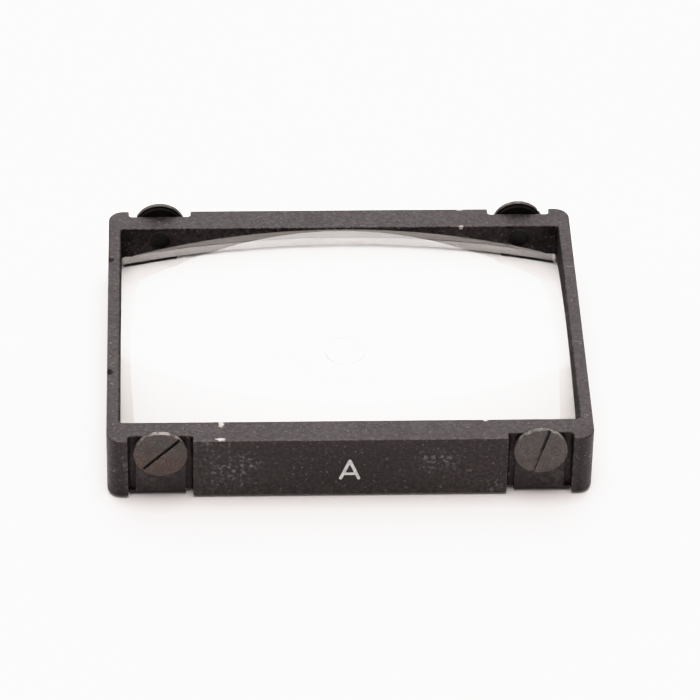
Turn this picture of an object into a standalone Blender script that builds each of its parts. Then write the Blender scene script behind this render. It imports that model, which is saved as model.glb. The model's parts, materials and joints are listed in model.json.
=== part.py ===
"""Framed focusing glass: a black metal frame that carries a rectangular condenser lens and, under it,
a focusing plate with a split-image centre. Four spring clips and four slotted screws hold the glass.

Metres, +Z up. +X runs along the long side, -Y is the front, where the index letter is.
The origin is on the surface that the clips' feet stand on, under the middle of the frame.
"""

from math import atan2, cos, pi, radians, sin, sqrt

import bmesh
import bpy
from mathutils import Matrix

MM = 0.001

# Driving dimensions
FRAME_WIDTH = 39.0 * MM
FRAME_DEPTH = 30.7 * MM
FRAME_HEIGHT = 5.6 * MM
FRAME_LIFT = 0.2 * MM  # the feet hold the frame this far off the surface
SIDE_WALL = 1.025 * MM
END_WALL = 2.5 * MM
OUTER_CORNER_RADIUS = 1.2 * MM
INNER_CORNER_RADIUS = 0.35 * MM
FIT_GAP = 0.05 * MM  # between pieces that touch

# Channels for the clips, in the front and the back wall
CHANNEL_CENTRE = 15.2 * MM
CHANNEL_WIDTH = 5.2 * MM
CHANNEL_DEPTH = 0.75 * MM
CHANNEL_CORNER_RADIUS = 0.3 * MM

# Clips
CLIP_WIDTH = 4.0 * MM
CLIP_THICKNESS = 0.3 * MM
CLIP_TOP_RADIUS = 2.0 * MM
FOOT_REACH = 0.13 * MM  # how far a foot runs in under the glass
FOOT_EAR = 0.5 * MM  # the foot's extra width, towards the corner
FOOT_EAR_HEIGHT = 0.45 * MM
BEND_RADIUS = 0.12 * MM
SLOT_TRAVEL = 0.4 * MM

# Screws
SCREW_HEIGHT = 4.46 * MM
HEAD_RADIUS = 2.15 * MM
HEAD_THICKNESS = 0.4 * MM
HEAD_ROUNDING = 0.08 * MM
SHANK_RADIUS = 0.85 * MM
HOLE_RADIUS = 0.9 * MM
SHANK_END_INSET = 0.3 * MM
DRIVE_SLOT_WIDTH = 0.28 * MM
DRIVE_SLOT_DEPTH = 0.22 * MM

# Glass
DOME_RADIUS = 61.36 * MM
LENS_APEX = 6.98 * MM
LENS_BASE = 3.0 * MM
LENS_BLANK_RADIUS = 21.6 * MM  # a little less than the opening's half diagonal
PLATE_THICKNESS = 2.6 * MM
SPOT_CENTRE_Y = -0.9 * MM
SPOT_RADIUS = 1.5 * MM
SPOT_DEPTH = 0.4 * MM
WEDGE_STEP = 0.18 * MM  # height between a wedge's thick and thin ends

# Index letter, engraved in the front face and filled with paint
LETTER_HEIGHT = 2.1 * MM
LETTER_WIDTH = 1.75 * MM
LETTER_STROKE = 0.3 * MM
LETTER_CENTRE_X = -0.07 * MM
LETTER_BASE = 1.7 * MM
LETTER_BAR = 0.62 * MM  # the crossbar's centre line, above the letter's foot
ENGRAVING_DEPTH = 0.15 * MM
PAINT_GAP = 0.02 * MM
PAINT_INSET = 0.01 * MM

# Worked out from those above
FRAME_FRONT = -FRAME_DEPTH / 2
FRAME_TOP = FRAME_LIFT + FRAME_HEIGHT
OPENING_WIDTH = FRAME_WIDTH - 2 * SIDE_WALL
OPENING_DEPTH = FRAME_DEPTH - 2 * END_WALL
GLASS_WIDTH = OPENING_WIDTH - 2 * FIT_GAP
GLASS_DEPTH = OPENING_DEPTH - 2 * FIT_GAP
FOOT_TOP = CLIP_THICKNESS
PLATE_BASE = FOOT_TOP + FIT_GAP
CLIP_BACK = FRAME_DEPTH / 2 - CHANNEL_DEPTH + FIT_GAP  # distance of a clip's inner side from the middle
CLIP_FACE = CLIP_BACK + CLIP_THICKNESS
HEAD_BACK = CLIP_FACE + FIT_GAP
HEAD_FACE = HEAD_BACK + HEAD_THICKNESS
SHANK_END = OPENING_DEPTH / 2 + SHANK_END_INSET
OVERRUN = 1.0 * MM  # how far a cutter passes the face that it opens

ROUND_STEPS = 48
ARC_STEPS = 6
SCREW_SEAM = 1e-7

# Corner name: side in X, side in Y, turn of the screw's drive slot seen from outside
CORNERS = {
    "front_left": (-1, -1, radians(45)),
    "front_right": (1, -1, radians(74)),
    "rear_left": (-1, 1, radians(20)),
    "rear_right": (1, 1, radians(-35)),
}


def clear_scene():
    for obj in list(bpy.data.objects):
        bpy.data.objects.remove(obj, do_unlink=True)


def collection(name):
    made = bpy.data.collections.new(name)
    bpy.context.scene.collection.children.link(made)
    return made


def material(name, colour, roughness, metallic=0.0, transmission=0.0):
    made = bpy.data.materials.new(name)
    made.use_nodes = True
    shader = made.node_tree.nodes["Principled BSDF"]
    shader.inputs["Base Color"].default_value = (*colour, 1)
    shader.inputs["Roughness"].default_value = roughness
    shader.inputs["Metallic"].default_value = metallic
    shader.inputs["Transmission Weight"].default_value = transmission
    return made


def object_from(name, mesh, group):
    obj = bpy.data.objects.new(name, mesh)
    group.objects.link(obj)
    return obj


def as_cutter(obj):
    obj.hide_render = True
    obj.display_type = "WIRE"
    return obj


def box(name, low, high, group):
    """A box between two corners, with its origin at its centre."""
    mesh = bpy.data.meshes.new(name)
    shape = bmesh.new()
    bmesh.ops.create_cube(shape, size=1)
    sides = [b - a for a, b in zip(low, high)]
    bmesh.ops.scale(shape, vec=sides, verts=shape.verts)
    shape.to_mesh(mesh)
    shape.free()
    obj = object_from(name, mesh, group)
    obj.location = [(a + b) / 2 for a, b in zip(low, high)]
    return obj


def cylinder(name, radius, length, group):
    """A cylinder along Z, centred on its origin."""
    mesh = bpy.data.meshes.new(name)
    shape = bmesh.new()
    bmesh.ops.create_cone(
        shape, cap_ends=True, segments=ROUND_STEPS, radius1=radius, radius2=radius, depth=length
    )
    shape.to_mesh(mesh)
    shape.free()
    return object_from(name, mesh, group)


def arc(centre_x, centre_y, radius, start, end, steps=ARC_STEPS):
    angles = [start + (end - start) * i / steps for i in range(steps + 1)]
    return [(centre_x + radius * cos(a), centre_y + radius * sin(a)) for a in angles]


def rounded_rectangle(width, depth, radius):
    x, y = width / 2 - radius, depth / 2 - radius
    centres = ((x, y), (-x, y), (-x, -y), (x, -y))
    points = []
    for quarter, (cx, cy) in enumerate(centres):
        points += arc(cx, cy, radius, quarter * pi / 2, (quarter + 1) * pi / 2)
    return points


def stroke(start, end, width):
    """A straight pen stroke with round ends."""
    along = atan2(end[1] - start[1], end[0] - start[0])
    return arc(*start, width / 2, along + pi / 2, along + 3 * pi / 2) + arc(
        *end, width / 2, along - pi / 2, along + pi / 2
    )


def outline_solid(name, outlines, thickness, group):
    """A flat outline, the later outlines being holes in it, thickened both ways from its plane."""
    curve = bpy.data.curves.new(name, "CURVE")
    curve.dimensions = "2D"
    curve.fill_mode = "BOTH"
    curve.extrude = thickness / 2
    for outline in outlines:
        spline = curve.splines.new("POLY")
        spline.points.add(len(outline) - 1)
        spline.use_cyclic_u = True
        for point, (x, y) in zip(spline.points, outline):
            point.co = (x, y, 0, 1)
    drawn = object_from(name + "_outline", curve, group)
    bpy.context.view_layer.update()
    evaluated = drawn.evaluated_get(bpy.context.evaluated_depsgraph_get())
    mesh = bpy.data.meshes.new_from_object(evaluated)
    mesh.name = name
    bpy.data.objects.remove(drawn, do_unlink=True)
    shape = bmesh.new()
    shape.from_mesh(mesh)
    bmesh.ops.remove_doubles(shape, verts=shape.verts, dist=SCREW_SEAM)
    bmesh.ops.recalc_face_normals(shape, faces=shape.faces)
    shape.to_mesh(mesh)
    shape.free()
    return object_from(name, mesh, group)


def turned_solid(name, profile, group):
    """A profile of (radius, height) points, from the top of the axis down its outer side, turned about Z."""
    mesh = bpy.data.meshes.new(name)
    edges = [(i, i + 1) for i in range(len(profile) - 1)]
    mesh.from_pydata([(r, 0, z) for r, z in profile], edges, [])
    obj = object_from(name, mesh, group)
    screw = obj.modifiers.new("turn", "SCREW")
    screw.steps = screw.render_steps = ROUND_STEPS
    screw.use_merge_vertices = True
    screw.merge_threshold = SCREW_SEAM
    screw.use_smooth_shade = True
    return obj


def combine(obj, other, operation):
    boolean = obj.modifiers.new(operation.lower() + "_" + other.name, "BOOLEAN")
    boolean.operation = operation
    boolean.object = other
    boolean.solver = "EXACT"


def dome_height(radius):
    """Height of the lens's curved face at a distance from its axis."""
    return LENS_APEX - DOME_RADIUS + sqrt(DOME_RADIUS**2 - radius**2)


def letter_strokes():
    """The letter's three strokes, drawn in the plane of the front face about the letter's foot."""
    top = (0, LETTER_HEIGHT - LETTER_STROKE / 2)
    spread = (LETTER_WIDTH - LETTER_STROKE) / 2
    foot = LETTER_STROKE / 2
    bar_half = spread * (top[1] - LETTER_BAR) / (top[1] - foot)
    return {
        "left_leg": ((-spread, foot), top),
        "right_leg": ((spread, foot), top),
        "crossbar": ((-bar_half, LETTER_BAR), (bar_half, LETTER_BAR)),
    }


def letter_solid(name, stroke_width, near, far, group, cutters):
    """The letter as a solid between two distances behind the front face."""
    strokes = letter_strokes()
    solids = []
    for part, (start, end) in strokes.items():
        owner = group if not solids else cutters
        label = name if not solids else f"{name}_{part}"
        solid = outline_solid(label, [stroke(start, end, stroke_width)], far - near, owner)
        solid.rotation_euler = (pi / 2, 0, 0)
        solid.location = (LETTER_CENTRE_X, FRAME_FRONT + (near + far) / 2, LETTER_BASE)
        solids.append(solid)
    for other in solids[1:]:
        combine(solids[0], as_cutter(other), "UNION")
    return solids[0]


def make_frame(parts, cutters, enamel):
    """The frame: one ring, with four channels outside, four screw holes and four grooves for the feet."""
    ring = [
        rounded_rectangle(FRAME_WIDTH, FRAME_DEPTH, OUTER_CORNER_RADIUS),
        rounded_rectangle(OPENING_WIDTH, OPENING_DEPTH, INNER_CORNER_RADIUS),
    ]
    frame = outline_solid("frame", ring, FRAME_HEIGHT, parts)
    frame.location.z = FRAME_LIFT + FRAME_HEIGHT / 2
    frame.data.materials.append(enamel)
    for corner, (side_x, side_y, _) in CORNERS.items():
        x = side_x * CHANNEL_CENTRE
        mill = rounded_rectangle(CHANNEL_WIDTH, 2 * CHANNEL_DEPTH, CHANNEL_CORNER_RADIUS)
        channel = outline_solid(corner + "_channel", [mill], FRAME_HEIGHT + 2 * OVERRUN, cutters)
        channel.location = (x, side_y * FRAME_DEPTH / 2, frame.location.z)
        hole = cylinder(corner + "_screw_hole", HOLE_RADIUS, END_WALL + OVERRUN, cutters)
        hole.rotation_euler = (pi / 2, 0, 0)
        hole.location = (x, side_y * (FRAME_DEPTH - END_WALL) / 2, SCREW_HEIGHT)
        inner = side_y * (OPENING_DEPTH / 2 - OVERRUN)
        outside = side_y * (FRAME_DEPTH / 2 + OVERRUN)
        groove = box(
            corner + "_foot_groove",
            (x - CHANNEL_WIDTH / 2, min(inner, outside), -OVERRUN),
            (x + CHANNEL_WIDTH / 2, max(inner, outside), FOOT_TOP + FIT_GAP),
            cutters,
        )
        for cutter in (channel, hole, groove):
            combine(frame, as_cutter(cutter), "DIFFERENCE")
    engraving = letter_solid(
        "letter_engraving", LETTER_STROKE, -OVERRUN, ENGRAVING_DEPTH, cutters, cutters
    )
    combine(frame, as_cutter(engraving), "DIFFERENCE")
    return frame


def make_letter(parts, cutters, paint):
    """The paint that fills the engraved letter."""
    width = LETTER_STROKE - 2 * PAINT_GAP
    letter = letter_solid(
        "index_letter", width, PAINT_INSET, ENGRAVING_DEPTH - PAINT_GAP, parts, cutters
    )
    letter.data.materials.append(paint)


def clip_front_outline(side_x):
    """A clip seen from outside: round top, straight sides, and a foot with an ear towards the corner."""
    half = CLIP_WIDTH / 2
    ear = half + FOOT_EAR
    round_top = arc(0, SCREW_HEIGHT, CLIP_TOP_RADIUS, 0, pi, 2 * ARC_STEPS)
    foot = [(-half, 0), (ear, 0), (ear, FOOT_EAR_HEIGHT), (half, FOOT_EAR_HEIGHT)]
    return [(side_x * x, z) for x, z in round_top + foot]


def clip_side_outline():
    """A clip's folded strip seen from its side: an upright in the channel and a foot that runs inwards."""
    tip = OPENING_DEPTH / 2 - FOOT_REACH
    top = SCREW_HEIGHT + CLIP_TOP_RADIUS + OVERRUN
    outer = BEND_RADIUS + CLIP_THICKNESS
    bend = (CLIP_BACK - BEND_RADIUS, outer)
    return (
        [(tip, 0)]
        + arc(*bend, outer, -pi / 2, 0)
        + [(CLIP_FACE, top), (CLIP_BACK, top)]
        + arc(*bend, BEND_RADIUS, 0, -pi / 2)
        + [(tip, CLIP_THICKNESS)]
    )


def make_clip(corner, parts, cutters, steel):
    side_x, side_y, _ = CORNERS[corner]
    x = side_x * CHANNEL_CENTRE
    width = 2 * (CLIP_WIDTH + OVERRUN)
    strip = outline_solid(corner + "_clip", [clip_side_outline()], width, parts)
    turn = Matrix.Rotation(side_y * pi / 2, 4, "Z") @ Matrix.Rotation(pi / 2, 4, "X")
    strip.data.transform(turn)
    strip.location.x = x
    blank = outline_solid(corner + "_clip_blank", [clip_front_outline(side_x)], FRAME_DEPTH, cutters)
    blank.rotation_euler = (pi / 2, 0, 0)
    blank.location = (x, side_y * FRAME_DEPTH / 2, 0)
    slot_ends = ((0, -SLOT_TRAVEL), (0, SLOT_TRAVEL))
    slot = outline_solid(
        corner + "_clip_slot", [stroke(*slot_ends, 2 * HOLE_RADIUS)], 2 * END_WALL, cutters
    )
    slot.rotation_euler = (pi / 2, 0, 0)
    slot.location = (x, side_y * FRAME_DEPTH / 2, SCREW_HEIGHT)
    combine(strip, as_cutter(blank), "INTERSECT")
    combine(strip, as_cutter(slot), "DIFFERENCE")
    strip.data.materials.append(steel)


def make_screw(corner, parts, cutters, steel):
    """A slotted cheese-head screw. Its origin is on its axis, under the head, with +Z pointing outwards."""
    side_x, side_y, slot_turn = CORNERS[corner]
    profile = [(0, HEAD_THICKNESS), (HEAD_RADIUS - HEAD_ROUNDING, HEAD_THICKNESS)]
    profile += arc(
        HEAD_RADIUS - HEAD_ROUNDING, HEAD_THICKNESS - HEAD_ROUNDING, HEAD_ROUNDING, pi / 2, 0, 3
    )[1:]
    profile += [
        (HEAD_RADIUS, 0),
        (SHANK_RADIUS, 0),
        (SHANK_RADIUS, SHANK_END - HEAD_BACK),
        (0, SHANK_END - HEAD_BACK),
    ]
    screw = turned_solid(corner + "_screw", profile, parts)
    place = Matrix.Translation((side_x * CHANNEL_CENTRE, side_y * HEAD_BACK, SCREW_HEIGHT))
    facing = Matrix.Rotation(-side_y * pi / 2, 4, "X")
    screw.matrix_world = place @ facing
    slot = box(
        corner + "_drive_slot",
        (-HEAD_RADIUS - OVERRUN, -DRIVE_SLOT_WIDTH / 2, HEAD_THICKNESS - DRIVE_SLOT_DEPTH),
        (HEAD_RADIUS + OVERRUN, DRIVE_SLOT_WIDTH / 2, HEAD_THICKNESS + OVERRUN),
        cutters,
    )
    slot.matrix_world = screw.matrix_world @ Matrix.Rotation(slot_turn, 4, "Z") @ slot.matrix_basis
    combine(screw, as_cutter(slot), "DIFFERENCE")
    screw.data.materials.append(steel)


def make_lens(parts, cutters, glass):
    """The condenser: a round plano-convex blank trimmed to the opening, its corners left round."""
    rings = 2 * ARC_STEPS
    radii = [LENS_BLANK_RADIUS * i / rings for i in range(rings + 1)]
    profile = [(r, dome_height(r)) for r in radii]
    profile += [(LENS_BLANK_RADIUS, LENS_BASE), (0, LENS_BASE)]
    lens = turned_solid("condenser_lens", profile, parts)
    x, y = GLASS_WIDTH / 2, GLASS_DEPTH / 2
    trim = box("lens_trim", (-x, -y, LENS_BASE - OVERRUN), (x, y, LENS_APEX + OVERRUN), cutters)
    combine(lens, as_cutter(trim), "INTERSECT")
    lens.data.materials.append(glass)


def make_plate(parts, cutters, glass):
    """The focusing plate, with a shallow round pocket underneath for the two wedges."""
    outline = rounded_rectangle(GLASS_WIDTH, GLASS_DEPTH, INNER_CORNER_RADIUS)
    plate = outline_solid("focusing_plate", [outline], PLATE_THICKNESS, parts)
    plate.location.z = PLATE_BASE + PLATE_THICKNESS / 2
    pocket = cylinder("spot_pocket", SPOT_RADIUS + FIT_GAP, 2 * SPOT_DEPTH, cutters)
    pocket.location = (0, SPOT_CENTRE_Y, PLATE_BASE)
    combine(plate, as_cutter(pocket), "DIFFERENCE")
    plate.data.materials.append(glass)


def make_wedge(name, side_y, parts, cutters, glass):
    """One of the two half-round wedges, which thin towards opposite sides."""
    low, high = PLATE_BASE + FIT_GAP, PLATE_BASE + SPOT_DEPTH - FIT_GAP
    wedge = cylinder(name, SPOT_RADIUS, high - low, parts)
    wedge.location = (0, SPOT_CENTRE_Y, (low + high) / 2)
    reach = SPOT_RADIUS + OVERRUN
    near = SPOT_CENTRE_Y + side_y * FIT_GAP / 2
    far = SPOT_CENTRE_Y + side_y * reach
    half = box(
        name + "_half",
        (-reach, min(near, far), low - OVERRUN),
        (reach, max(near, far), high + OVERRUN),
        cutters,
    )
    combine(wedge, as_cutter(half), "INTERSECT")
    slope = box(name + "_slope", (-reach, -reach, -reach), (reach, reach, 0), cutters)
    tilt = atan2(WEDGE_STEP, 2 * SPOT_RADIUS)
    slope.matrix_world = (
        Matrix.Translation((0, SPOT_CENTRE_Y, low + WEDGE_STEP / 2))
        @ Matrix.Rotation(side_y * tilt, 4, "Y")
        @ slope.matrix_basis
    )
    combine(wedge, as_cutter(slope), "DIFFERENCE")
    wedge.data.materials.append(glass)


def main():
    clear_scene()
    parts = collection("negative_carrier")
    cutters = collection("cutters")
    enamel = material("black_enamel", (0.040, 0.036, 0.037), 0.55)
    steel = material("blackened_steel", (0.055, 0.045, 0.042), 0.45, metallic=0.3)
    clip_steel = material("blackened_spring_steel", (0.035, 0.031, 0.032), 0.5, metallic=0.3)
    glass = material("optical_glass", (0.97, 0.97, 0.96), 0.02, transmission=1.0)
    paint = material("white_fill", (0.78, 0.77, 0.75), 0.6)
    make_frame(parts, cutters, enamel)
    make_letter(parts, cutters, paint)
    for corner in CORNERS:
        make_clip(corner, parts, cutters, clip_steel)
        make_screw(corner, parts, cutters, steel)
    make_lens(parts, cutters, glass)
    make_plate(parts, cutters, glass)
    make_wedge("prism_front", -1, parts, cutters, glass)
    make_wedge("prism_rear", 1, parts, cutters, glass)


main()
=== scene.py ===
"""Looks for the framed focusing glass: black enamelled frame, domed condenser glass, split-image plate,
blackened clips and slotted screws, on a plain pale floor in soft light. Metres, in the CAD frame."""

import json
from math import cos, pi, radians, sqrt

import bmesh
import bpy
from mathutils import Matrix, Vector


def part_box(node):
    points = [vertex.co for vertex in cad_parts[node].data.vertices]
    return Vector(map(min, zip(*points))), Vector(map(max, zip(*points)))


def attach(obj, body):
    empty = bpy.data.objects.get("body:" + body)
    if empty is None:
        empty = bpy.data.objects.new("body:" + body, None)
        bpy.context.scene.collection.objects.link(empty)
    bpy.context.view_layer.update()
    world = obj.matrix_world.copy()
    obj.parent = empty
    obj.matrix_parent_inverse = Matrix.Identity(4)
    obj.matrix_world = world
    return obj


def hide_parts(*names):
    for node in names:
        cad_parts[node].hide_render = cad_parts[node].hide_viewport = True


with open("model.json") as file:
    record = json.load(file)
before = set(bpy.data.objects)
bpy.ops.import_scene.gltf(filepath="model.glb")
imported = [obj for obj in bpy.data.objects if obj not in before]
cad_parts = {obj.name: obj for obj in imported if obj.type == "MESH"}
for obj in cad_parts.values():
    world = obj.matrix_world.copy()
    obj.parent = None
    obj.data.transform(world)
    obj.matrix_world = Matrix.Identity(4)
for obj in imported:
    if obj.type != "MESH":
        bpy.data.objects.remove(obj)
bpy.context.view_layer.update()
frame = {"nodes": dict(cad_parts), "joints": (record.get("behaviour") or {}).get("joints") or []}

MM = 0.001
BODY = "carrier"

# Places read from the CAD
FRAME_LOW, FRAME_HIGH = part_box("frame")
LENS_LOW, LENS_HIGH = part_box("condenser_lens")
PLATE_LOW, PLATE_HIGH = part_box("focusing_plate")
SPOT_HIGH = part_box("prism_front")[1]
CORNERS = ("front_left", "front_right", "rear_left", "rear_right")
JOINTS = {joint["child"]: joint for joint in frame["joints"]}
TOP = FRAME_HIGH.z
FRONT = FRAME_LOW.y
GLASS_GAP = 0.05 * MM  # from the focusing plate to the frame
OPENING = PLATE_HIGH.xy + Vector((GLASS_GAP, GLASS_GAP))  # half the frame's opening
HEAD_DEPTH = 0.4 * MM  # thickness of a screw's head

# Camera, aimed at a point inside the glass
AIM = Vector((0.53, 1.25, 1.80)) * MM
CAMERA_DISTANCE = 378.7 * MM
CAMERA_PITCH = radians(38.43)
CAMERA_YAW = radians(2.69)
CAMERA_ROLL = radians(1.173)
FOCAL_LENGTH = 234.6  # millimetres on a 36 mm sensor

# Light: a dim sky with a round bright patch over the far side, and a softbox overhead
SKY_DIM = 0.36
SKY_BRIGHT = 3.1
SKY_PATCH_ELEVATION = radians(38)
SKY_PATCH_INSIDE = radians(12)
SKY_PATCH_OUTSIDE = radians(48)
SKY_DIM_COLOUR = (1.0, 0.88, 0.85)
SKY_BRIGHT_COLOUR = (1.0, 0.985, 0.99)
SOFTBOX_HEIGHT = 0.8
SOFTBOX_SIZE = 0.5
SOFTBOX_WATTS = 6.4
SOFTBOX_COLOUR = (1.0, 0.95, 0.935)
FLOOR_SIZE = 4

# How the brightest tones are rolled off: scene brightness and what it is shown as
BRIGHTEST = 2.0
ROLL_OFF = ((0.5, 0.5), (0.8, 0.79), (1.0, 0.90), (1.3, 0.955), (2.0, 0.970))

# Glass
DOME_RADIUS = 61.36 * MM
BLANK_RADIUS = 21.6 * MM  # the round blank that the lens is cut from
LENS_CELLS = (96, 68)
LENS_LIFT = 1 * MM  # height of the lens's slab before its top is domed
GLASS_IOR = 1.517
GLASS_CLEAR = (0.992, 0.988, 0.982)
GLASS_BOUNCES = 24
SPOT_RELIEF = 0.6  # share of the split-image wedges' relief that is drawn
SPOT_CENTRE = Vector((0, SPOT_HIGH.y, PLATE_LOW.z))
SPOT_REACH = SPOT_HIGH.x + 0.2 * MM
SPOT_CEILING = (PLATE_LOW.z + PLATE_HIGH.z) / 2  # the spot's points are below it, the plate's top above
RING_RADIUS = 6.0 * MM  # the plate's finer ground middle

# Attributes painted on the pieces
WEAR = "wear"  # 1 along the middle of an eased edge
SAWN = "sawn"  # 1 on the upright outer faces of the glass
WORN = 1  # the material index that marks a bevelled face until its wear is painted
UPRIGHT = 0.25  # steepest slope of the normal of an upright face

# Easing of the edges, and the angles that make an edge sharp
FRAME_EASING = 0.10 * MM
CLIP_EASING = 0.05 * MM
SCREW_EASING = 0.04 * MM
LETTER_EASING = 0.02 * MM
GLASS_CHAMFER = 0.05 * MM
EASED_ANGLE = radians(32)
SMOOTH_METAL = radians(28)
SMOOTH_GLASS = radians(20)
FLAT_ANGLE = radians(0.5)
MERGE_REACH = 0.0005 * MM


# ---------------------------------------------------------------- node helpers

EDGE_WOBBLE = 3.0  # how far a noise pulls a mark's edge about


class Nodes:
    """A short way to build one material's node tree."""

    def __init__(self, name):
        self.material = bpy.data.materials.new(name)
        self.material.use_nodes = True
        self.tree = self.material.node_tree
        self.shader = self.tree.nodes["Principled BSDF"]
        self.place = self.add("ShaderNodeTexCoord").outputs["Object"]

    def add(self, kind, **values):
        node = self.tree.nodes.new(kind)
        for name, value in values.items():
            setattr(node, name, value)
        return node

    def link(self, value, socket):
        if isinstance(value, bpy.types.NodeSocket):
            self.tree.links.new(value, socket)
        else:
            socket.default_value = value

    def math(self, operation, a, b=0.0, clamp=False):
        node = self.add("ShaderNodeMath", operation=operation, use_clamp=clamp)
        self.link(a, node.inputs[0])
        self.link(b, node.inputs[1])
        return node.outputs[0]

    def noise(self, size, detail=3.0, roughness=0.55, place=None):
        """Noise whose features are about this many metres across."""
        node = self.add("ShaderNodeTexNoise")
        self.link(place or self.place, node.inputs["Vector"])
        node.inputs["Scale"].default_value = 1 / size
        node.inputs["Detail"].default_value = detail
        node.inputs["Roughness"].default_value = roughness
        return node.outputs["Fac"]

    def ramp(self, value, low, high, to_low=0.0, to_high=1.0):
        node = self.add("ShaderNodeMapRange")
        self.link(value, node.inputs["Value"])
        ends = (("From Min", low), ("From Max", high), ("To Min", to_low), ("To Max", to_high))
        for name, number in ends:
            self.link(number, node.inputs[name])
        return node.outputs["Result"]

    def mix(self, share, a, b):
        """Colour a where share is 0 and colour b where it is 1."""
        node = self.add("ShaderNodeMix", data_type="RGBA")
        self.link(share, node.inputs["Factor"])
        self.link(a if isinstance(a, bpy.types.NodeSocket) else (*a, 1), node.inputs["A"])
        self.link(b if isinstance(b, bpy.types.NodeSocket) else (*b, 1), node.inputs["B"])
        return node.outputs["Result"]

    def about(self, centre, sizes=(1, 1, 1), turn=(0, 0, 0)):
        """Object coordinates about a centre, turned, and divided by three sizes."""
        node = self.add("ShaderNodeMapping", vector_type="TEXTURE")
        self.link(self.place, node.inputs["Vector"])
        node.inputs["Location"].default_value = centre
        node.inputs["Rotation"].default_value = turn
        node.inputs["Scale"].default_value = sizes
        return node.outputs["Vector"]

    def length(self, vector):
        node = self.add("ShaderNodeVectorMath", operation="LENGTH")
        self.link(vector, node.inputs[0])
        return node.outputs["Value"]

    def axes(self, vector=None):
        node = self.add("ShaderNodeSeparateXYZ")
        self.link(vector or self.place, node.inputs[0])
        return node.outputs

    def mark(self, centre, sizes, turn=(0, 0, 0), soft=0.4, wobble=None):
        """1 inside an ellipsoid, 0 outside, with an edge that a noise can pull about."""
        reach = self.length(self.about(centre, sizes, turn))
        if wobble is not None:
            pull = self.math("MULTIPLY", self.math("SUBTRACT", wobble, 0.5), EDGE_WOBBLE)
            reach = self.math("ADD", reach, pull)
        return self.ramp(reach, 1.0, 1.0 - soft)

    def most(self, values):
        result = values[0]
        for value in values[1:]:
            result = self.math("MAXIMUM", result, value)
        return result

    def painted(self, name):
        """One of the piece's own attributes."""
        node = self.add("ShaderNodeAttribute", attribute_type="GEOMETRY", attribute_name=name)
        return node.outputs["Fac"]

    def bump(self, height, depth, below=None):
        """Relief of a height map whose full range is this many metres."""
        node = self.add("ShaderNodeBump")
        node.inputs["Strength"].default_value = 1.0
        node.inputs["Distance"].default_value = depth
        self.link(height, node.inputs["Height"])
        if below is not None:
            self.link(below, node.inputs["Normal"])
        return node.outputs["Normal"]

    def finish(self, colour=None, roughness=None, normal=None, **constants):
        for value, socket in ((colour, "Base Color"), (roughness, "Roughness"), (normal, "Normal")):
            if value is not None:
                self.link((*value, 1) if isinstance(value, tuple) else value, self.shader.inputs[socket])
        for name, value in constants.items():
            self.shader.inputs[name.replace("_", " ")].default_value = value
        return self.material


# ------------------------------------------------------------------- materials

# Centre, half sizes and turn of each mark on the enamel, in millimetres and degrees
TOP_MM = TOP / MM
FRONT_MM = FRONT / MM
# Pits in the nicks of the frame's edges, painted near black and matt as painted shade in the dents
SHADED_PITS = (
    ((-19.36, 8.6, TOP_MM - 0.1), (0.40, 0.40, 0.3), 0),
    ((-19.36, -6.4, TOP_MM - 0.1), (0.42, 0.42, 0.3), 0),
    ((18.40, -1.6, TOP_MM), (0.16, 0.30, 0.2), 0),
)
CHIPS = (
    ((-10.35, -13.15, TOP_MM), (0.24, 0.40, 0.2), 10),
    ((-10.4, -15.1, TOP_MM), (0.42, 0.20, 0.2), -8),
    ((10.8, -13.0, TOP_MM), (0.18, 0.14, 0.2), 0),
    ((10.3, 15.2, TOP_MM), (0.30, 0.10, 0.2), 5),
    ((10.2, 12.9, TOP_MM), (0.30, 0.10, 0.3), 0),
)
SCRATCHES = (
    ((19.1, 7.2, TOP_MM), (0.32, 0.06, 0.3), -10),
    ((19.0, -2.9, TOP_MM), (0.45, 0.05, 0.3), -4),
    ((19.2, -3.2, TOP_MM), (0.12, 0.09, 0.3), 30),
    ((19.0, -12.4, TOP_MM), (0.30, 0.07, 0.3), -25),
    ((18.9, -12.7, TOP_MM), (0.10, 0.10, 0.3), 0),
    ((-19.0, -5.2, TOP_MM), (0.28, 0.05, 0.3), 15),
    ((-19.1, -7.9, TOP_MM), (0.22, 0.05, 0.3), -20),
    ((-19.3, -13.6, 4.2), (0.3, 0.05, 0.5), 30),
)
SCUFFS = (
    ((-10.2, FRONT_MM, 3.0), (3.6, 0.4, 2.9), 0),
    ((6.6, FRONT_MM, 3.6), (2.2, 0.4, 1.7), 0),
    ((11.9, FRONT_MM, 0.9), (1.2, 0.4, 0.7), 0),
    ((-17.9, FRONT_MM, 3.4), (0.9, 0.4, 1.6), 0),
)


def marks(n, rows, soft, wobble):
    """Where any of a table's marks is."""
    found = []
    for centre, sizes, turn in rows:
        place = Vector(centre) * MM
        reach = Vector(sizes) * MM
        found.append(n.mark(place, reach, (0, 0, radians(turn)), soft, wobble))
    return n.most(found)


def inner_walls(n):
    """1 on the walls round the glass, 0 on the rest of the frame."""
    x, y, _ = n.axes()
    beside = n.ramp(n.math("ABSOLUTE", x), OPENING.x + 0.09 * MM, OPENING.x + 0.03 * MM)
    between = n.ramp(n.math("ABSOLUTE", y), OPENING.y - 0.01 * MM, OPENING.y - 0.1 * MM)
    return n.math("MULTIPLY", beside, between)


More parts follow.
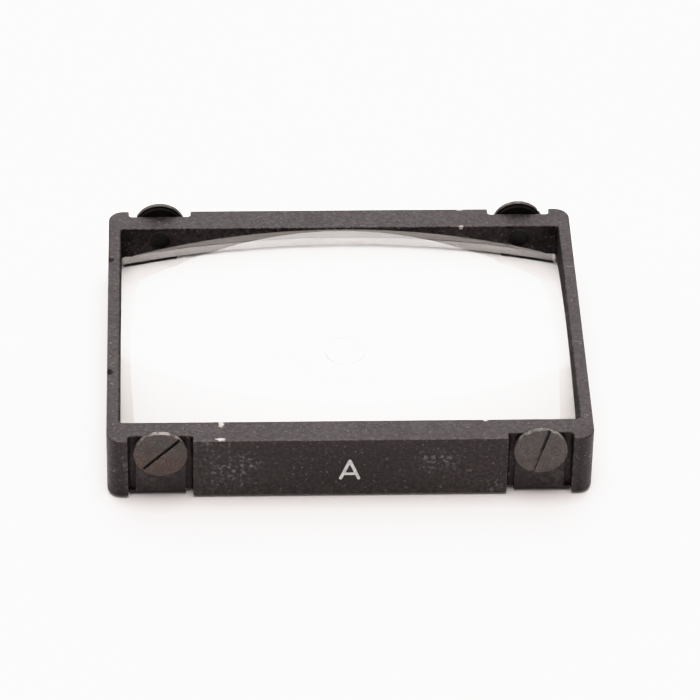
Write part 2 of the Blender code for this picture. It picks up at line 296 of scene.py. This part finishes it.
def make_enamel():
    """Matt black enamel: coarse grain, pale specks, chips, scratches, rubbed patches, worn edges, and painted
    shade in the pits of the nicks.
    """
    n = Nodes("black_enamel")
    cloud = n.noise(2.6 * MM, 4)
    grain = n.noise(0.26 * MM, 4, 0.65)
    fine = n.noise(0.09 * MM, 2)
    speck = n.noise(0.34 * MM, 4, 0.7)
    ragged = n.ramp(n.noise(0.35 * MM, 4, 0.65), 0.44, 0.62, 0.05, 0.8)
    edge = n.math("MULTIPLY", n.painted(WEAR), ragged)
    scuffed = n.math("MULTIPLY", marks(n, SCUFFS, 0.9, cloud), n.ramp(speck, 0.50, 0.64))
    scratched = n.math("MULTIPLY", marks(n, SCRATCHES, 0.6, None), n.ramp(fine, 0.3, 0.6))
    chipped = marks(n, CHIPS, 0.3, speck)
    pit_shade = marks(n, SHADED_PITS, 0.7, speck)
    inner = inner_walls(n)
    outer = n.math("SUBTRACT", 1.0, inner)

    colour = n.mix(n.ramp(grain, 0.46, 0.68), (0.001, 0.0008, 0.001), (0.030, 0.026, 0.027))
    colour = n.mix(n.ramp(cloud, 0.40, 0.70, 0, 0.35), colour, (0.020, 0.017, 0.016))
    colour = n.mix(n.ramp(speck, 0.61, 0.67, 0, 0.8), colour, (0.13, 0.115, 0.115))
    colour = n.mix(edge, colour, (0.085, 0.072, 0.069))
    colour = n.mix(n.math("MULTIPLY", scuffed, 0.7), colour, (0.17, 0.165, 0.17))
    colour = n.mix(n.math("MULTIPLY", scratched, 0.6), colour, (0.36, 0.32, 0.31))
    colour = n.mix(chipped, colour, (0.50, 0.46, 0.44))
    # Painted shade: the pits of the nicks darkened to near black
    colour = n.mix(n.math("MULTIPLY", pit_shade, 0.9), colour, (0.001, 0.001, 0.001))

    rough = n.ramp(grain, 0.35, 0.65, 0.34, 0.52)
    rough = n.math("ADD", rough, n.ramp(cloud, 0.35, 0.7, -0.05, 0.08))
    rough = n.math("SUBTRACT", rough, n.math("MULTIPLY", edge, 0.10))
    rough = n.math("ADD", rough, n.math("MULTIPLY", pit_shade, 0.4))
    rough = n.ramp(inner, 0, 1, rough, 0.85)

    relief = n.bump(n.math("MULTIPLY", grain, outer), 0.050 * MM)
    relief = n.bump(n.math("MULTIPLY", fine, outer), 0.010 * MM, relief)
    relief = n.bump(n.math("SUBTRACT", 1.0, chipped), 0.02 * MM, relief)
    return n.finish(colour, rough, relief, Specular_Tint=(1.0, 0.80, 0.81, 1), IOR=1.34)


def make_clip_steel(name, rub_and_light):
    """Thin spring steel, blackened and matt; the last argument sets both its edges rubbed grey and its
    specular, and at 0 it gives a painted-shade copy with neither.
    """
    n = Nodes(name)
    cloud = n.noise(0.9 * MM, 4)
    colour = n.mix(n.ramp(cloud, 0.35, 0.7), (0.006, 0.005, 0.005), (0.012, 0.010, 0.010))
    edge = n.math("MULTIPLY", n.painted(WEAR), n.ramp(n.noise(0.4 * MM, 3), 0.42, 0.62, 0, rub_and_light))
    colour = n.mix(edge, colour, (0.09, 0.08, 0.078))
    speck = n.ramp(n.noise(0.3 * MM, 4, 0.7), 0.62, 0.70, 0, 0.6)
    colour = n.mix(speck, colour, (0.09, 0.08, 0.08))
    rough = n.ramp(n.noise(0.25 * MM, 3), 0.3, 0.7, 0.46, 0.62)
    streak = n.noise(0.06 * MM, 2, place=n.about((0, 0, 0), (1, 1, 12)))
    relief = n.bump(streak, 0.003 * MM)
    relief = n.bump(n.noise(0.12 * MM, 2), 0.004 * MM, relief)
    gloss = {"Specular_Tint": (1.0, 0.82, 0.84, 1), "IOR": 1.38, "Specular_IOR_Level": 0.5 * rub_and_light}
    return n.finish(colour, rough, relief, **gloss)


# Tint, warmer tint, strength of the rim's wear and painted highlight, and how far the slot's painted shade
# fades out in its lower half
SCREW_FINISHES = {
    "front_left": ((0.050, 0.044, 0.040), (0.068, 0.034, 0.024), 0.5, 0.0),
    "front_right": ((0.066, 0.056, 0.052), (0.074, 0.058, 0.052), 0.5, 0.8),
    "rear_left": ((0.045, 0.038, 0.035), (0.050, 0.038, 0.034), 0.15, 0.0),
    "rear_right": ((0.042, 0.035, 0.035), (0.048, 0.038, 0.036), 0.15, 0.0),
}


def make_screw_steel(corner, tint, warm, rim_wear_and_highlight, slot_shade_fade):
    """Oxidised screw steel: turning marks round the screw's own axis, brown patches, a bright rim that is
    partly worn metal and partly a painted highlight, and painted shade in the slot.
    """
    n = Nodes("screw_steel_" + corner)
    centre = Vector(JOINTS[corner + "_screw"]["pos_m"])
    seat = abs(centre.y)
    face = seat + HEAD_DEPTH
    head_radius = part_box(corner + "_screw")[1].x - centre.x
    x, _, z = n.axes(n.about(centre))
    flat = n.add("ShaderNodeCombineXYZ")
    n.link(x, flat.inputs["X"])
    n.link(z, flat.inputs["Z"])
    radius = n.length(flat.outputs["Vector"])
    depth = n.math("ABSOLUTE", n.axes()[1])
    grain = n.noise(0.16 * MM, 3, 0.6)

    low = n.ramp(z, 0.7 * MM, -0.9 * MM, 0.0, 0.9)
    patch = n.math("ADD", n.ramp(n.noise(0.8 * MM, 4), 0.35, 0.68, -0.1, 0.6), low, clamp=True)
    colour = n.mix(patch, tint, warm)
    colour = n.mix(n.ramp(grain, 0.32, 0.48, 0.8, 0), colour, (0.012, 0.010, 0.009))
    colour = n.mix(n.ramp(grain, 0.54, 0.68, 0, 0.6), colour, (0.14, 0.12, 0.11))
    stain = n.ramp(n.noise(1.1 * MM, 3), 0.38, 0.62, 0, 0.45)
    colour = n.mix(stain, colour, (0.022, 0.019, 0.017))

    # The rim is lightened partly by wear along the eased edge and partly as a painted highlight: a ring at
    # the head's outer edge, strongest at its top and bottom
    rub_and_light = n.math("MULTIPLY", n.ramp(n.noise(0.5 * MM, 3), 0.42, 0.60), rim_wear_and_highlight)
    rim_highlight = n.ramp(radius, head_radius - 0.07 * MM, head_radius - 0.03 * MM)
    rim_highlight = n.math("MULTIPLY", rim_highlight, n.ramp(n.math("ABSOLUTE", z), 0.8 * MM, 1.8 * MM, 0.25, 1.0))
    edge = n.math("MULTIPLY", n.most([n.painted(WEAR), rim_highlight]), rub_and_light)
    colour = n.mix(edge, colour, (0.42, 0.37, 0.34))

    # Painted shade: the slot's floor darkened to near black, fading out in its lower half on some screws
    sunk = n.ramp(depth, face - 0.05 * MM, face - 0.12 * MM)
    slot = n.math("MULTIPLY", sunk, n.ramp(radius, head_radius - 0.05 * MM, head_radius - 0.15 * MM))
    slot = n.math("MULTIPLY", slot, n.ramp(z, -0.25 * MM, 0.1 * MM, 1 - slot_shade_fade, 1))
    colour = n.mix(slot, colour, (0.002, 0.0015, 0.0015))
    shank = n.ramp(depth, seat - 0.06 * MM, seat - 0.1 * MM)
    colour = n.mix(shank, colour, (0.006, 0.005, 0.005))

    wander = n.math("MULTIPLY", n.noise(0.6 * MM, 2), 0.10 * MM)
    ring = n.math("SINE", n.math("MULTIPLY", n.math("ADD", radius, wander), 2 * pi / (0.14 * MM)))
    relief = n.bump(ring, 0.0012 * MM)
    relief = n.bump(grain, 0.014 * MM, relief)
    return n.finish(colour, n.ramp(grain, 0.3, 0.7, 0.36, 0.55), relief, Metallic=0.35)


def make_white_fill():
    """White paint wiped into the engraving, thin in places."""
    n = Nodes("white_fill")
    colour = n.mix(n.ramp(n.noise(0.35 * MM, 4), 0.35, 0.7), (0.52, 0.51, 0.52), (0.80, 0.80, 0.80))
    relief = n.bump(n.noise(0.08 * MM, 2), 0.010 * MM)
    return n.finish(colour, n.ramp(n.noise(0.2 * MM, 2), 0.3, 0.7, 0.45, 0.65), relief)


def glass_sides(n, ground, tint_low, tint_high):
    """The sawn, stained sides of a glass: their share and grain, and the glass's colour and roughness."""
    side = n.painted(SAWN)
    grain = n.noise(0.09 * MM, 3)
    stain = n.noise(1.2 * MM, 3, place=n.about((0, 0, 0), (2.5, 2.5, 0.3)))
    spread = n.math("ADD", n.ramp(grain, 0.35, 0.65, 0, 0.5), n.ramp(stain, 0.35, 0.65, 0, 0.5))
    colour = n.mix(side, GLASS_CLEAR, n.mix(spread, tint_low, tint_high))
    n.link(n.ramp(side, 0, 1, 1, 1 - ground), n.shader.inputs["Transmission Weight"])
    return side, grain, colour, n.math("MULTIPLY", side, 0.06)


def make_lens_glass():
    """Polished optical glass with faint smears, its sawn sides left ground and dusty."""
    n = Nodes("condenser_glass")
    side, grain, colour, rough = glass_sides(n, 0.86, (0.30, 0.22, 0.18), (0.42, 0.33, 0.28))
    smear = n.ramp(n.noise(6 * MM, 4), 0.45, 0.8, 0.0, 0.012)
    relief = n.bump(n.math("MULTIPLY", grain, side), 0.01 * MM)
    return n.finish(colour, n.math("ADD", rough, smear), relief, IOR=GLASS_IOR)


def make_plate_glass():
    """Plate glass, finely ground underneath, with stained sides and a trace of cement at the spot."""
    n = Nodes("plate_glass")
    side, grain, colour, rough = glass_sides(n, 0.50, (0.46, 0.38, 0.34), (0.62, 0.54, 0.50))
    trace = SPOT_CENTRE + Vector((-0.95, -0.1, 0)) * MM
    cement = n.mark(trace, Vector((0.75, 0.3, 0.6)) * MM, (0, 0, 0.12), 0.9)
    colour = n.mix(cement, colour, (0.93, 0.925, 0.92))
    below = n.ramp(n.axes()[2], PLATE_LOW.z + 0.02 * MM, PLATE_LOW.z + 0.01 * MM)
    out = n.length(n.about(SPOT_CENTRE))
    ground = n.ramp(out, RING_RADIUS - 0.05 * MM, RING_RADIUS, 0.10, 0.16)
    smear = n.ramp(n.noise(5 * MM, 4), 0.45, 0.8, 0.0, 0.010)
    rough = n.math("ADD", n.math("ADD", rough, smear), n.math("MULTIPLY", below, ground))
    relief = n.bump(n.math("MULTIPLY", grain, n.most([below, side])), 0.001 * MM)
    return n.finish(colour, rough, relief, IOR=GLASS_IOR)


def make_floor():
    """A plain pale sweep, a little uneven in tone and without gloss."""
    n = Nodes("pale_floor")
    colour = n.mix(n.ramp(n.noise(25 * MM, 3), 0.3, 0.7), (0.90, 0.89, 0.885), (0.915, 0.905, 0.90))
    return n.finish(colour, 0.9, Specular_IOR_Level=0.0)


# -------------------------------------------------------------------- modelling


def make_active(obj):
    bpy.ops.object.select_all(action="DESELECT")
    obj.select_set(True)
    bpy.context.view_layer.objects.active = obj


def apply_all(obj):
    make_active(obj)
    for modifier in list(obj.modifiers):
        bpy.ops.object.modifier_apply(modifier=modifier.name)


def settle(obj):
    """Puts the object's place into its mesh."""
    make_active(obj)
    bpy.ops.object.transform_apply(location=True, rotation=True, scale=True)


def show(piece, body, slot, material, *nodes):
    """Gives a piece its body, its finish and the CAD nodes that it stands for; slot is not used."""
    piece.data.materials.clear()
    piece.data.materials.append(material)
    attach(piece, body)
    if nodes:
        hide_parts(*nodes)
    return piece


def add_primitive(name, operator, place, **values):
    bpy.ops.object.select_all(action="DESELECT")
    operator(location=place, **values)
    piece = bpy.context.active_object
    piece.name = piece.data.name = name
    return piece


def paint_wear(piece):
    """Stores how far each point is inside the bevelled faces, and gives all faces one material index."""
    mesh = piece.data
    worn = [0] * len(mesh.vertices)
    met = [0] * len(mesh.vertices)
    for face in mesh.polygons:
        for vertex in face.vertices:
            met[vertex] += 1
            worn[vertex] += face.material_index == WORN
    layer = mesh.attributes.new(WEAR, "FLOAT", "POINT")
    for point, (count, total) in zip(layer.data, zip(worn, met)):
        point.value = max(0.0, 2 * count / max(total, 1) - 1)
    for face in mesh.polygons:
        face.material_index = 0


def ease_edges(piece, width, segments, kept_boxes):
    """Rounds the outward edges, except those inside the boxes."""
    shape = bmesh.new()
    shape.from_mesh(piece.data)
    weight = shape.edges.layers.float.new("bevel_weight_edge")
    for edge in shape.edges:
        place = (edge.verts[0].co + edge.verts[1].co) / 2
        kept = any(all(a <= b <= c for a, b, c in zip(low, place, high)) for low, high in kept_boxes)
        if edge.is_manifold and edge.calc_face_angle_signed() > EASED_ANGLE and not kept:
            edge[weight] = 1
    shape.to_mesh(piece.data)
    shape.free()
    bevel = piece.modifiers.new("edges", "BEVEL")
    bevel.width = width
    bevel.segments = segments
    bevel.limit_method = "WEIGHT"
    bevel.use_clamp_overlap = not kept_boxes
    bevel.material = WORN
    apply_all(piece)


def merged_copy(node, name, edge, segments=2, nicks=(), smooth=SMOOTH_METAL, kept_boxes=()):
    """A CAD node's shape as one closed mesh, its flat faces whole, its edges eased and nicked."""
    mesh = frame["nodes"][node].data.copy()
    mesh.name = name
    piece = bpy.data.objects.new(name, mesh)
    bpy.context.scene.collection.objects.link(piece)
    make_active(piece)
    mesh.materials.clear()
    for _ in range(WORN + 1):
        bpy.ops.object.material_slot_add()
    bpy.ops.object.mode_set(mode="EDIT")
    bpy.ops.mesh.select_all(action="SELECT")
    bpy.ops.mesh.remove_doubles(threshold=MERGE_REACH)
    bpy.ops.mesh.dissolve_limited(angle_limit=FLAT_ANGLE)
    bpy.ops.object.mode_set(mode="OBJECT")
    if edge:
        ease_edges(piece, edge, segments, kept_boxes)
    for place, sizes in nicks:
        dent(piece, place, sizes)
    paint_wear(piece)
    make_active(piece)
    bpy.ops.object.shade_smooth_by_angle(angle=smooth)
    if segments > 1:
        flatten = piece.modifiers.new("flat_faces", "WEIGHTED_NORMAL")
        flatten.keep_sharp = True
        apply_all(piece)
    return piece


def dent(piece, place, sizes):
    """Cuts a small rounded nick."""
    ball = add_primitive("nick", bpy.ops.mesh.primitive_ico_sphere_add, place, radius=1, subdivisions=3)
    ball.scale = sizes
    settle(ball)
    for _ in range(WORN + 1):
        bpy.ops.object.material_slot_add()
    for face in ball.data.polygons:
        face.material_index = WORN
    cut = piece.modifiers.new("nick", "BOOLEAN")
    cut.operation = "DIFFERENCE"
    cut.object = ball
    apply_all(piece)
    bpy.data.objects.remove(ball)


def dome_height(radius):
    """Height of the dome at a distance from the lens's axis."""
    return LENS_HIGH.z - DOME_RADIUS + sqrt(DOME_RADIUS**2 - radius**2)


def make_lens_piece(name):
    """The condenser: a closed slab of small faces, its corners drawn in to the round blank, its top domed."""
    piece = add_primitive(
        name,
        bpy.ops.mesh.primitive_grid_add,
        (0, 0, LENS_LOW.z),
        x_subdivisions=LENS_CELLS[0],
        y_subdivisions=LENS_CELLS[1],
        size=1,
    )
    piece.scale = (LENS_HIGH.x - LENS_LOW.x, LENS_HIGH.y - LENS_LOW.y, 1)
    settle(piece)
    bpy.ops.object.mode_set(mode="EDIT")
    bpy.ops.mesh.select_all(action="SELECT")
    bpy.ops.mesh.extrude_region_move(TRANSFORM_OT_translate={"value": (0, 0, LENS_LIFT)})
    bpy.ops.mesh.select_all(action="SELECT")
    bpy.ops.mesh.normals_make_consistent(inside=False)
    bpy.ops.object.mode_set(mode="OBJECT")
    for vertex in piece.data.vertices:
        out = vertex.co.xy.length
        if out > BLANK_RADIUS:
            vertex.co.xy *= BLANK_RADIUS / out
        if vertex.co.z > LENS_LOW.z + LENS_LIFT / 2:
            vertex.co.z = dome_height(min(out, BLANK_RADIUS))
    bpy.ops.object.shade_smooth_by_angle(angle=SMOOTH_GLASS)
    return piece


# Place and half sizes of each nick in the frame's edges, in millimetres
FRAME_NICKS = (
    ((-19.36, 8.6, 5.84), (0.34, 0.34, 0.22)),
    ((-19.36, -6.4, 5.84), (0.36, 0.36, 0.24)),
    ((18.40, -1.6, 5.86), (0.16, 0.30, 0.14)),
    ((10.3, 15.45, 5.84), (0.36, 0.16, 0.12)),
)

# Left sharp: a margin round the engraving, and a box about each screw hole
LETTER_MARGIN = Vector((0.1, 0.2, 0.1)) * MM
HOLE_REACH = Vector((0.95, 1.8, 0.95)) * MM


def make_metal():
    """The frame, its painted letter, the clips and the screws."""
    nicks = [(Vector(place) * MM, Vector(sizes) * MM) for place, sizes in FRAME_NICKS]
    low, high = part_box("index_letter")
    kept_boxes = [(low - LETTER_MARGIN, high + LETTER_MARGIN)]
    for corner in CORNERS:
        centre = Vector(JOINTS[corner + "_screw"]["pos_m"])
        kept_boxes.append((centre - HOLE_REACH, centre + HOLE_REACH))
    shell = merged_copy(
        "frame", "frame_shell", FRAME_EASING, segments=3, nicks=nicks, kept_boxes=kept_boxes
    )
    show(shell, BODY, "black_enamel", make_enamel(), "frame")
    letter = merged_copy("index_letter", "letter_paint", LETTER_EASING)
    show(letter, BODY, "white_fill", make_white_fill(), "index_letter")
    # The rear clips get the painted-shade copy of the steel, without rubbed edges or specular, so they stay
    # dark
    steels = {
        "front": make_clip_steel("spring_steel_front", 1.0),
        "rear": make_clip_steel("spring_steel_rear_painted_shade", 0.0),
    }
    for corner in CORNERS:
        clip = merged_copy(corner + "_clip", corner + "_clip_plate", CLIP_EASING)
        show(clip, BODY, "spring_steel", steels[corner.split("_")[0]], corner + "_clip")
        screw = merged_copy(corner + "_screw", corner + "_screw_head", SCREW_EASING)
        finish = make_screw_steel(corner, *SCREW_FINISHES[corner])
        show(screw, corner + "_screw", "screw_steel", finish, corner + "_screw")


def flatten_spot(piece):
    """Makes the split-image spot's relief shallower, so that it shows as faintly as cemented glass."""
    for vertex in piece.data.vertices:
        inside = (vertex.co.xy - SPOT_CENTRE.xy).length < SPOT_REACH
        if inside and vertex.co.z < SPOT_CEILING:
            vertex.co.z = PLATE_LOW.z + SPOT_RELIEF * (vertex.co.z - PLATE_LOW.z)


def paint_sides(piece):
    """Marks a glass's upright outer faces."""
    layer = piece.data.attributes.new(SAWN, "FLOAT", "FACE")
    for face, share in zip(piece.data.polygons, layer.data):
        outside = (face.center.xy - SPOT_CENTRE.xy).length > SPOT_REACH
        share.value = float(outside and abs(face.normal.z) < UPRIGHT)


def make_glass_pieces():
    """The condenser, the focusing plate and the two wedges of its split-image spot."""
    lens = make_lens_piece("condenser_glass")
    paint_sides(lens)
    show(lens, BODY, "condenser_glass", make_lens_glass(), "condenser_lens")
    plate_glass = make_plate_glass()
    plate = merged_copy("focusing_plate", "focusing_glass", GLASS_CHAMFER, 1, smooth=SMOOTH_GLASS)
    flatten_spot(plate)
    paint_sides(plate)
    show(plate, BODY, "plate_glass", plate_glass, "focusing_plate")
    for half in ("front", "rear"):
        wedge = merged_copy("prism_" + half, "prism_wedge_" + half, 0, 1, smooth=SMOOTH_GLASS)
        flatten_spot(wedge)
        show(wedge, BODY, "plate_glass", plate_glass, "prism_" + half)


# ----------------------------------------------------------------------- stage


def make_stage():
    """The floor that the part stands on."""
    floor = add_primitive(
        "floor",
        bpy.ops.mesh.primitive_grid_add,
        (0, 0, 0),
        x_subdivisions=8,
        y_subdivisions=8,
        size=FLOOR_SIZE,
    )
    floor.data.materials.append(make_floor())


def make_sky():
    """A dim, slightly warm sky with one broad bright patch over the far side."""
    world = bpy.data.worlds.new("studio")
    world.use_nodes = True
    tree = world.node_tree
    background = tree.nodes["Background"]
    direction = tree.nodes.new("ShaderNodeTexCoord").outputs["Generated"]
    towards = tree.nodes.new("ShaderNodeVectorMath")
    towards.operation = "DOT_PRODUCT"
    tree.links.new(direction, towards.inputs[0])
    patch = Matrix.Rotation(SKY_PATCH_ELEVATION, 3, "X") @ Vector((0, 1, 0))
    towards.inputs[1].default_value = patch
    share = tree.nodes.new("ShaderNodeMapRange")
    share.interpolation_type = "SMOOTHSTEP"
    tree.links.new(towards.outputs["Value"], share.inputs["Value"])
    share.inputs["From Min"].default_value = cos(SKY_PATCH_OUTSIDE)
    share.inputs["From Max"].default_value = cos(SKY_PATCH_INSIDE)
    tint = tree.nodes.new("ShaderNodeMix")
    tint.data_type = "RGBA"
    tree.links.new(share.outputs["Result"], tint.inputs["Factor"])
    tint.inputs["A"].default_value = [SKY_DIM * c for c in SKY_DIM_COLOUR] + [1]
    tint.inputs["B"].default_value = [SKY_BRIGHT * c for c in SKY_BRIGHT_COLOUR] + [1]
    tree.links.new(tint.outputs["Result"], background.inputs["Color"])
    bpy.context.scene.world = world


def make_softbox():
    """One soft square light overhead."""
    light = bpy.data.lights.new("softbox", "AREA")
    light.shape = "SQUARE"
    light.size = SOFTBOX_SIZE
    light.energy = SOFTBOX_WATTS
    light.color = SOFTBOX_COLOUR
    lamp = bpy.data.objects.new("softbox", light)
    bpy.context.scene.collection.objects.link(lamp)
    lamp.location = (0, 0, SOFTBOX_HEIGHT)


def set_view():
    """Plain tones with the whites rolled off, and light followed through the stacked glass."""
    scene = bpy.context.scene
    scene.view_settings.view_transform = "Standard"
    scene.view_settings.use_curve_mapping = True
    mapping = scene.view_settings.curve_mapping
    mapping.white_level = (BRIGHTEST, BRIGHTEST, BRIGHTEST)
    curve = mapping.curves[3]
    for bright, shown in ROLL_OFF[:-1]:
        curve.points.new(bright / BRIGHTEST, shown)
    curve.points[-1].location = (1, ROLL_OFF[-1][1])
    mapping.update()
    scene.cycles.max_bounces = GLASS_BOUNCES
    scene.cycles.transmission_bounces = GLASS_BOUNCES
    scene.cycles.blur_glossy = 0


def make_camera():
    """A long lens, looking down at the front."""
    camera = bpy.data.objects.new("camera", bpy.data.cameras.new("camera"))
    bpy.context.scene.collection.objects.link(camera)
    camera.data.sensor_width = 36
    camera.data.lens = FOCAL_LENGTH
    camera.data.clip_start = 10 * MM
    camera.data.clip_end = 10
    turn = (
        Matrix.Rotation(-CAMERA_YAW, 3, "Z")
        @ Matrix.Rotation(pi / 2 - CAMERA_PITCH, 3, "X")
        @ Matrix.Rotation(CAMERA_ROLL, 3, "Z")
    )
    camera.location = AIM + turn @ Vector((0, 0, CAMERA_DISTANCE))
    camera.rotation_euler = turn.to_euler()
    bpy.context.scene.camera = camera


set_view()
make_camera()
make_stage()
make_sky()
make_softbox()
make_metal()
make_glass_pieces()
